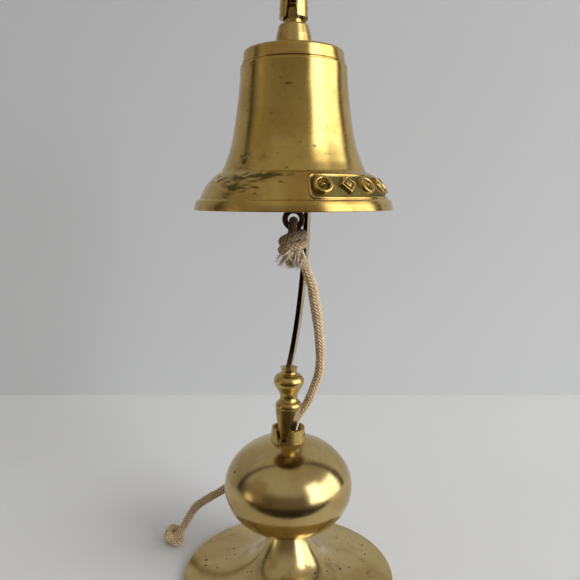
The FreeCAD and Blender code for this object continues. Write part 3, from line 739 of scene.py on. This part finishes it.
def nearest(path, place, begin):
    """Index of the path's point nearest to a place, at or after the given index."""
    return begin + int(np.argmin(np.linalg.norm(path[begin:] - np.array(place), axis=1)))


def make_cord():
    path = smooth_curve(HITCH + FREE + RESTING + END_KNOT, ALONG_STEP)
    rows, height = cord_rows(path)
    leave_knot = nearest(path, HITCH[-1], 0)
    behind_collar = nearest(path, FREE[-1], leave_knot)
    on_table = nearest(path, RESTING[-1], behind_collar)
    hitch = cord_piece("hitch_knot", rows, height, 0, leave_knot)
    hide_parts("cord_hitch")
    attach(hitch, "clapper")
    free = behind_collar - leave_knot
    for upper, lower, begin, end in CHAIN:
        first, last = leave_knot + int(begin * free), leave_knot + int(end * free)
        piece = cord_piece("lanyard_" + upper, rows, height, first, last)
        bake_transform(piece)
    tail = cord_piece("lanyard_tail", rows, height, behind_collar, on_table)
    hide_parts("lanyard")
    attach(tail, "root")
    knot = cord_piece("lanyard_knot", rows, height, on_table, len(path) - 1)
    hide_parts("cord_end_knot")
    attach(knot, "root")


make_cord()


# --- frayed end of the cord ------------------------------------------------------------------------

YARNS = 58
HAIRS_PER_YARN = 9
HAIR_STEPS = 7
HAIR_SIDES = 4
TUFT_FROM_CUT_END = Vector((3.4, -1.2, 4.0))


def add_hair(points, faces, start, spread, length, curl, thickness):
    """One tapering hair with closed ends, appended to the lists."""
    first = len(points)
    for step in range(HAIR_STEPS):
        t = step / (HAIR_STEPS - 1)
        centre = start + spread * length * t + curl * (0.9 * math.sin(math.pi * t * 1.3))
        radius = thickness * (1 - 0.55 * t)
        for corner in range(HAIR_SIDES):
            angle = 2 * math.pi / HAIR_SIDES * corner + t
            points.append(centre + Vector((math.cos(angle), math.sin(angle), 0)) * radius)
    faces += [tuple(first + index for index in face) for face in grid_faces(HAIR_STEPS, HAIR_SIDES, False)]
    faces.append(tuple(range(first + HAIR_SIDES - 1, first - 1, -1)))
    last = first + (HAIR_STEPS - 1) * HAIR_SIDES
    faces.append(tuple(range(last, last + HAIR_SIDES)))


def make_tuft():
    """Loose yarns that fan out of the cord's cut end, each of a few hairs that keep together."""
    rng = random.Random(11)
    points, faces = [], []
    base = Vector(HITCH[0]) + TUFT_FROM_CUT_END
    for _ in range(YARNS):
        root = base + Vector((rng.uniform(-4.6, 4.2), rng.uniform(-1.4, 1.2), rng.uniform(-1.2, 1.2)))
        spread = Vector((rng.gauss(-0.05, 0.55), rng.gauss(-0.25, 0.25), -1.0)).normalized()
        length = rng.uniform(6.0, 10.5)
        curl = Vector((rng.gauss(0, 1), rng.gauss(0, 0.8), rng.gauss(0, 0.5)))
        for _ in range(HAIRS_PER_YARN):
            start = root + Vector([rng.gauss(0, 0.22) for _ in range(3)])
            way = spread + Vector([rng.gauss(0, 0.05) for _ in range(3)])
            reach = length * rng.uniform(0.85, 1.05)
            add_hair(points, faces, start, way, reach, curl, rng.uniform(0.17, 0.30))
    points = np.array([tuple(p) for p in points])
    # Painted light and shade on the yarns: noise gives the near-white highlight in some places and the
    # brown gap shade in others.
    shade = np.array([noise.noise(Vector(p) * 0.6) * 0.6 + 1.15 for p in points])
    values = {"raised": shade, "darkened_near_eye": np.zeros(len(points))}
    made = mesh_object("frayed_end", points, faces, "cotton", values)
    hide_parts("cord_tuft")
    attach(made, "clapper")


make_tuft()


# --- felt ------------------------------------------------------------------------------------------

FELT_AROUND = 160
FELT_HOLE = 0.6
FUZZ = 0.12


def make_felt():
    _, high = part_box("felt_pad")
    radius, top = high.x / MM, high.z / MM
    outline = [(FELT_HOLE, 0), (radius, 0), (radius, top), (FELT_HOLE, top)]
    outline = straight(eased(outline, 0.6), 2.0)
    points = []
    for r, z in outline:
        for step in range(FELT_AROUND):
            angle = 2 * math.pi * step / FELT_AROUND
            fuzz = FUZZ * noise.noise(Vector((r * math.cos(angle), r * math.sin(angle), z * 3)) * 0.9)
            edge = r + (fuzz if r > radius - 2 else 0)
            points.append((edge * math.cos(angle), edge * math.sin(angle), z))
    made = mesh_object("felt_disc", points, grid_faces(len(outline), FELT_AROUND, True), "felt")
    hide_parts("felt_pad")
    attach(made, "root")


make_felt()


# --- pieces carried over from the frame ------------------------------------------------------------

SLOTS = {part["node"]: part["material_slot"] for part in frame["record"]["subparts"]}

for node, carried in frame["nodes"].items():
    carried.data.materials.clear()
    carried.data.materials.append(MATERIALS[SLOTS[node]])


# --- stage -----------------------------------------------------------------------------------------

# Distances in mm from the stand's axis, as the viewer sees them, and heights.
WALL_DISTANCE = 309.0
WALL_RIGHT = 640.0
WALL_HEIGHT = 900.0
TABLE_FRONT = 105.0
WIDE = 1600.0


def plain_surface(name, tone, see_through_back=False):
    made, g, shader = material(name)
    where = g.place()
    cloud = g.noise(where, 3.0, 3, 0.5)
    darker = tuple(channel * 0.94 for channel in tone[:3]) + (1.0,)
    g.put(shader.inputs["Base Color"], g.mix(cloud, tone, darker))
    shader.inputs["Roughness"].default_value = 0.85
    if see_through_back:
        back = g.node("ShaderNodeNewGeometry").outputs["Backfacing"]
        clear = g.node("ShaderNodeBsdfTransparent").outputs[0]
        blend = g.node("ShaderNodeMixShader")
        g.put(blend.inputs[0], back)
        g.put(blend.inputs[1], shader.outputs[0])
        g.put(blend.inputs[2], clear)
        g.put(made.node_tree.nodes["Material Output"].inputs["Surface"], blend.outputs[0])
    return made


def seen_from_front(across, away, up):
    """Point in metres from the viewer's own directions in millimetres, from the stand's axis."""
    c, s = math.cos(VIEW_TURN), math.sin(VIEW_TURN)
    return Vector((across * c - away * s, across * s + away * c, up)) * MM


def sheet(name, corners, surface):
    """Flat four-cornered piece of the stage."""
    mesh = bpy.data.meshes.new(name)
    mesh.from_pydata([seen_from_front(*corner) for corner in corners], [], [(0, 1, 2, 3)])
    mesh.materials.append(surface)
    made = bpy.data.objects.new(name, mesh)
    bpy.context.scene.collection.objects.link(made)
    return made


def floor_corners(near, far):
    """Corners of a wide strip of the table between two distances from the stand's axis."""
    return [(-WIDE, near, 0), (WIDE, near, 0), (WIDE, far, 0), (-WIDE, far, 0)]


def make_stage():
    table = plain_surface("table_paint", (0.78, 0.78, 0.765, 1.0))
    wall = plain_surface("wall_paint", (0.58, 0.585, 0.58, 1.0), True)
    sheet("floor_near", floor_corners(-TABLE_FRONT, WALL_DISTANCE), table)
    front = sheet("floor_front", floor_corners(-WIDE, -TABLE_FRONT), table)
    behind = sheet("floor_behind", floor_corners(WALL_DISTANCE, 2 * WIDE), table)
    for extra in (front, behind):
        extra.visible_glossy = False
        extra.visible_diffuse = False
    left, right, far, top = -WIDE, WALL_RIGHT, WALL_DISTANCE, WALL_HEIGHT
    sheet("wall", [(left, far, 0), (right, far, 0), (right, far, top), (left, far, top)], wall)


make_stage()


# --- light -----------------------------------------------------------------------------------------

# Soft boxes as the object sees them: degrees right of the viewer, half width in degrees,
# degrees up from and to, and colour times strength.
BOXES = [
    (-62, 17, -2, 44, (0.30, 0.27, 0.21)),
    (78, 24, -4, 32, (2.9, 3.0, 3.2)),
    (52, 13, -2, 40, (4.0, 4.1, 4.6)),
    (-71, 6, -6, 6, (1.7, 1.5, 1.2)),
    (-97, 4, -30, 80, (0.01, 0.01, 0.008)),
    (112, 5, -30, 80, (0.01, 0.01, 0.008)),
]
# The room between the boxes: near the horizon, higher up, overhead, below, and as the camera sees it.
ROOM_LOW = (0.15, 0.127, 0.095, 1.0)
ROOM_HIGH = (0.42, 0.41, 0.39, 1.0)
CEILING = (0.40, 0.385, 0.34, 1.0)
UNDERNEATH = (0.03, 0.024, 0.018, 1.0)
BACKDROP = (0.42, 0.42, 0.41, 1.0)
# The lamp, in mm to the viewer's right, away from the viewer and up, and what it points at, in metres.
LAMP_PLACE = (950, -650, 620)
LAMP_TARGET = Vector((0, 0, 0.15))


def soft_box(g, round_, up, centre, half, low, high):
    """Share of one soft box in a direction, with blurred edges."""
    away = g.math("ABSOLUTE", g.math("SUBTRACT", round_, float(centre)))
    inside = g.ramp(away, half + 5.0, half - 4.0)
    inside = g.math("MULTIPLY", inside, g.ramp(up, low - 3.0, low + 3.0))
    return g.math("MULTIPLY", inside, g.ramp(up, high + 6.0, high - 6.0))


def make_world():
    world = bpy.data.worlds.new("studio")
    bpy.context.scene.world = world
    world.use_nodes = True
    g = Graph(world.node_tree)
    direction = g.node("ShaderNodeTexCoord").outputs["Generated"]
    across = g.dot(direction, (math.cos(VIEW_TURN), math.sin(VIEW_TURN), 0.0))
    near = g.dot(direction, (math.sin(VIEW_TURN), -math.cos(VIEW_TURN), 0.0))
    up = g.math("MULTIPLY", g.math("ARCSINE", g.dot(direction, (0, 0, 1))), 180 / math.pi)
    round_ = g.math("MULTIPLY", g.math("ARCTAN2", across, near), 180 / math.pi)
    tone = g.mix(g.ramp(up, 12, 34), ROOM_LOW, ROOM_HIGH)
    tone = g.mix(g.ramp(up, 38, 76), tone, CEILING)
    tone = g.mix(g.ramp(up, -4, -16), tone, UNDERNEATH)
    for centre, half, low, high, light in BOXES:
        tone = g.mix(soft_box(g, round_, up, centre, half, low, high), tone, light + (1.0,))
    seen = g.node("ShaderNodeLightPath").outputs["Is Camera Ray"]
    g.put(world.node_tree.nodes["Background"].inputs["Color"], g.mix(seen, tone, BACKDROP))


def make_lamp():
    """Large soft window lamp to the viewer's right."""
    light = bpy.data.lights.new("window", "AREA")
    light.shape = "RECTANGLE"
    light.size = 0.9
    light.size_y = 0.8
    light.energy = 7.6
    light.color = (1.0, 1.0, 0.995)
    lamp = bpy.data.objects.new("window", light)
    bpy.context.scene.collection.objects.link(lamp)
    lamp.location = seen_from_front(*LAMP_PLACE)
    aim = LAMP_TARGET - lamp.location
    lamp.rotation_euler = aim.to_track_quat("-Z", "Y").to_euler()
    lamp.visible_glossy = False


make_world()
make_lamp()


# --- camera ----------------------------------------------------------------------------------------

def make_camera():
    data = bpy.data.cameras.new("camera")
    data.lens = LENS
    data.sensor_width = SENSOR_WIDTH
    data.clip_start = 0.01
    data.clip_end = 20.0
    camera = bpy.data.objects.new("camera", data)
    bpy.context.scene.collection.objects.link(camera)
    camera.location = seen_from_front(VIEW_SIDE, -VIEW_DISTANCE, LIP_Z + VIEW_ABOVE_LIP)
    camera.rotation_euler = (math.pi / 2 - VIEW_PITCH, 0, VIEW_TURN)
    bpy.context.scene.camera = camera


make_camera()

bpy.context.scene.view_settings.view_transform = "Standard"
